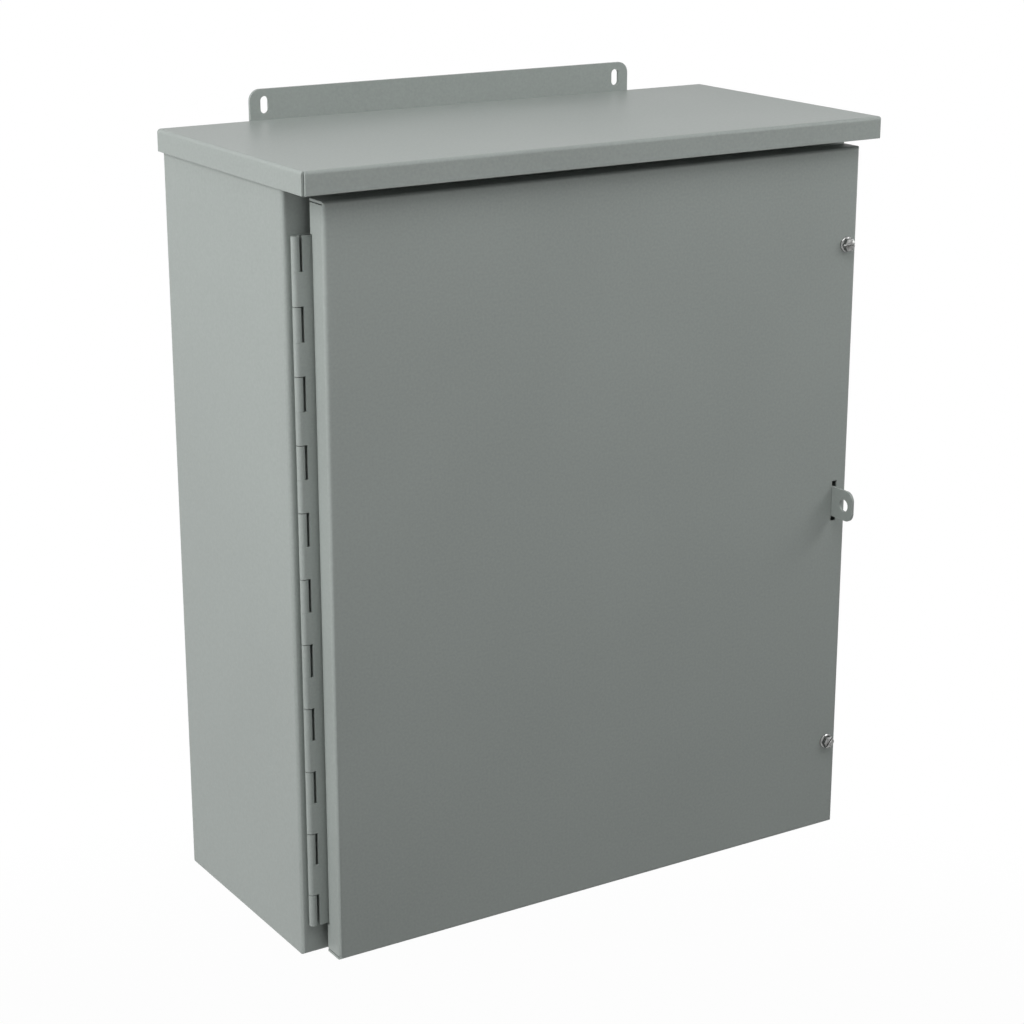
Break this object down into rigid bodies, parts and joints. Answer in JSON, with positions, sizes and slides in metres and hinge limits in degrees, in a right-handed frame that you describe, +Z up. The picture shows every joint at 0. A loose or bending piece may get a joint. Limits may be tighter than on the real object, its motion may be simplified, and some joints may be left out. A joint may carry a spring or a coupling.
{
  "type": "wall-mounted electrical enclosure",
  "caption": "Sheet-steel wall enclosure with a drip hood, a pan door on a continuous hinge, captive door screws, a padlock staple and slotted mounting strips.",
  "frame": {"origin": "on the wall plane, midway between the two upper mounting slots", "axes": "+Z up, the front faces -Y, +X to the right seen from the front, the wall is Y = 0"},
  "size_m": [0.5132, 0.2558, 0.66],
  "materials": {
    "grey_powder_coat": "satin light grey powder coat with a faint green cast",
    "zinc_plate": "bright zinc plate"
  },
  "bodies": {
    "enclosure": {"enclosure_body": "grey_powder_coat", "drip_hood": "grey_powder_coat", "upper_mounting_strip": "grey_powder_coat", "lower_mounting_strip": "grey_powder_coat", "hinge_body_leaf": "grey_powder_coat", "hinge_pin": "zinc_plate", "hasp_staple": "grey_powder_coat", "upper_flange_nut": "zinc_plate", "lower_flange_nut": "zinc_plate", "panel_studs": "zinc_plate", "ground_stud": "zinc_plate", "ground_lock_washer": "zinc_plate", "ground_nut": "zinc_plate"},
    "door_leaf": {"door": "grey_powder_coat", "hinge_door_leaf": "grey_powder_coat", "door_bond_stud": "zinc_plate", "door_bond_lock_washer": "zinc_plate", "door_bond_nut": "zinc_plate"},
    "upper_retainer": {"upper_screw_retainer": "zinc_plate"},
    "upper_screw": {"upper_door_screw": "zinc_plate"},
    "lower_retainer": {"lower_screw_retainer": "zinc_plate"},
    "lower_screw": {"lower_door_screw": "zinc_plate"}
  },
  "joints": [
    {"name": "door_swing", "type": "hinge", "parent": "enclosure", "child": "door_leaf", "pos_m": [-0.24535, -0.20705, -0.328], "axis": [0, 0, -1], "range_deg": [0, 180]},
    {"name": "upper_screw_travel", "type": "slide", "parent": "door_leaf", "child": "upper_retainer", "axis": [0, -1, 0], "range_m": [0, 0.00762]},
    {"name": "upper_screw_turn", "type": "hinge", "parent": "upper_retainer", "child": "upper_screw", "pos_m": [0.23565, -0.2299, -0.1135], "axis": [0, -1, 0], "range_deg": [0, 2160]},
    {"name": "lower_screw_travel", "type": "slide", "parent": "door_leaf", "child": "lower_retainer", "axis": [0, -1, 0], "range_m": [0, 0.00762]},
    {"name": "lower_screw_turn", "type": "hinge", "parent": "lower_retainer", "child": "lower_screw", "pos_m": [0.23565, -0.2299, -0.5425], "axis": [0, -1, 0], "range_deg": [0, 2160]}
  ],
  "couplings": [
    {"joint": "upper_screw_turn", "follows": "upper_screw_travel", "rad_per_m": 4947.4},
    {"joint": "lower_screw_turn", "follows": "lower_screw_travel", "rad_per_m": 4947.4}
  ]
}
